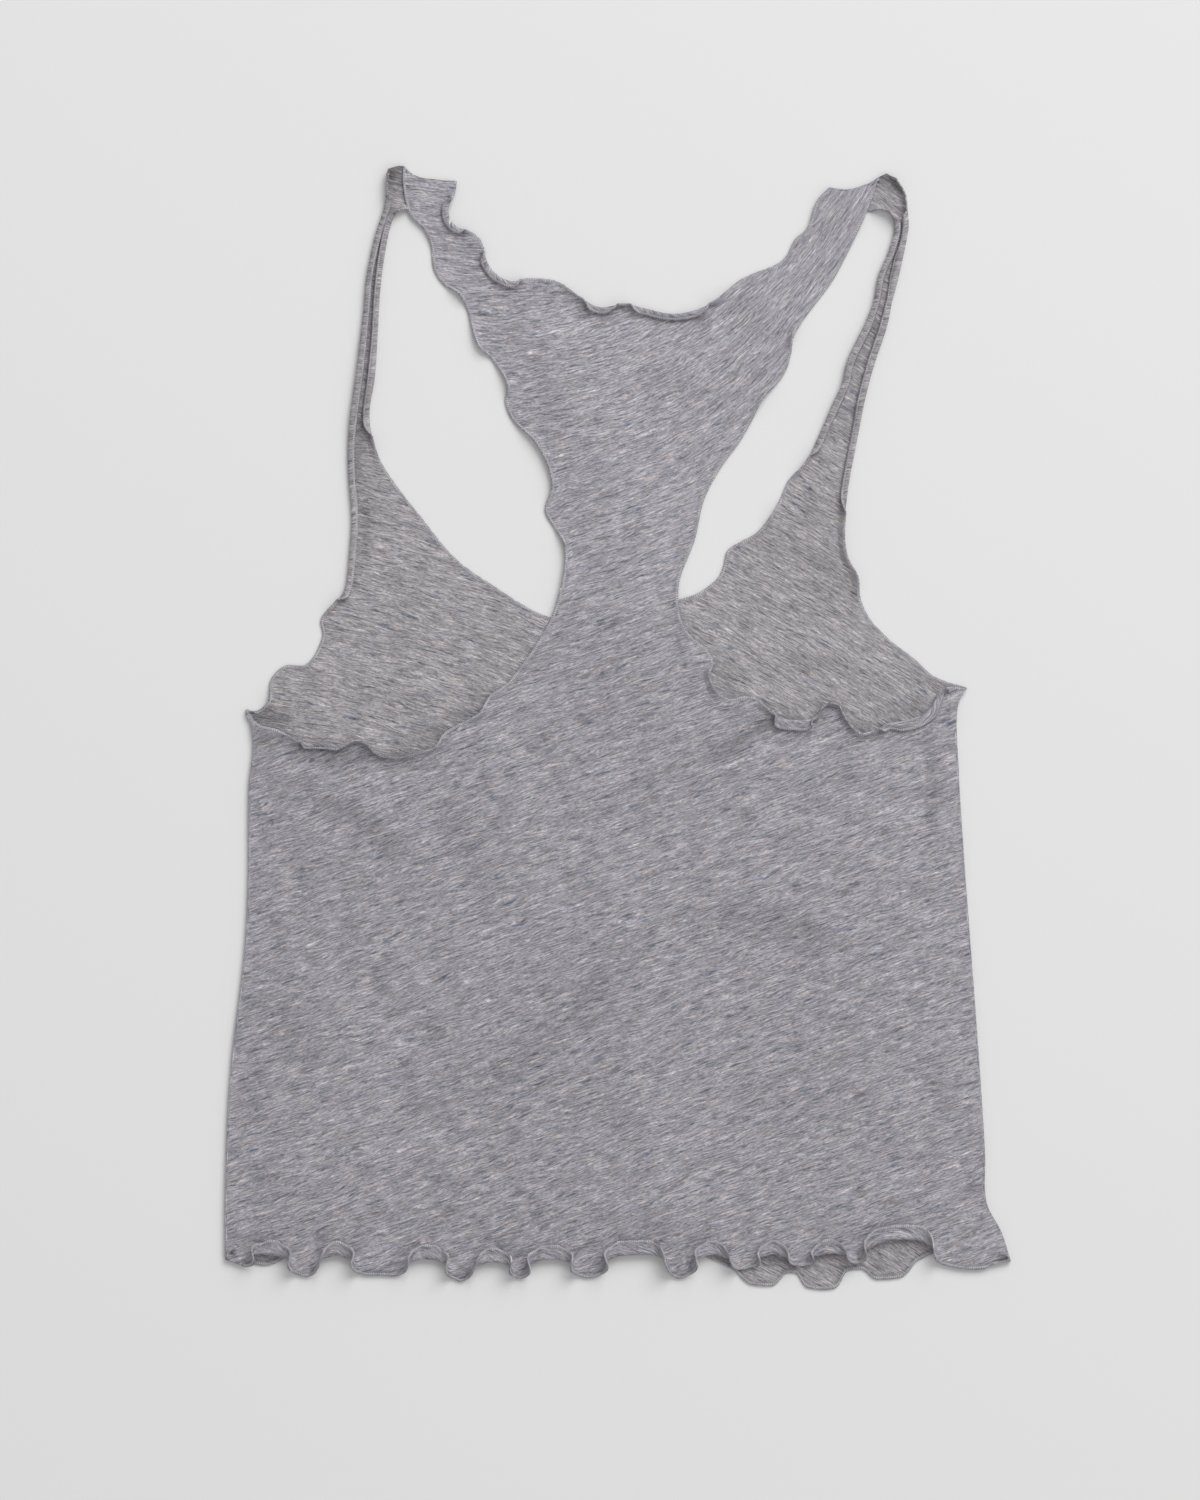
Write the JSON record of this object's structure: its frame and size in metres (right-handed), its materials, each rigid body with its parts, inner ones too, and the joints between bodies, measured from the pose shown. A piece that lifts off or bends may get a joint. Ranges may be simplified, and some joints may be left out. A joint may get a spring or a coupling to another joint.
{
  "type": "tank top",
  "caption": "Sleeveless jersey top with a racerback, long shoulder straps and ruffled rolled edges, laid flat with its back upwards.",
  "frame": {"origin": "middle of the underside's bounding box, on the surface the top lies on", "axes": "+X across the top to the right as it is seen from above, +Y up the top from hem to shoulders, +Z out of the surface"},
  "size_m": [0.424, 0.6068, 0.0111],
  "materials": {
    "jersey": "matt grey heather single jersey"
  },
  "bodies": {
    "root": {"front_panel": "jersey", "back_panel": "jersey"}
  },
  "joints": []
}
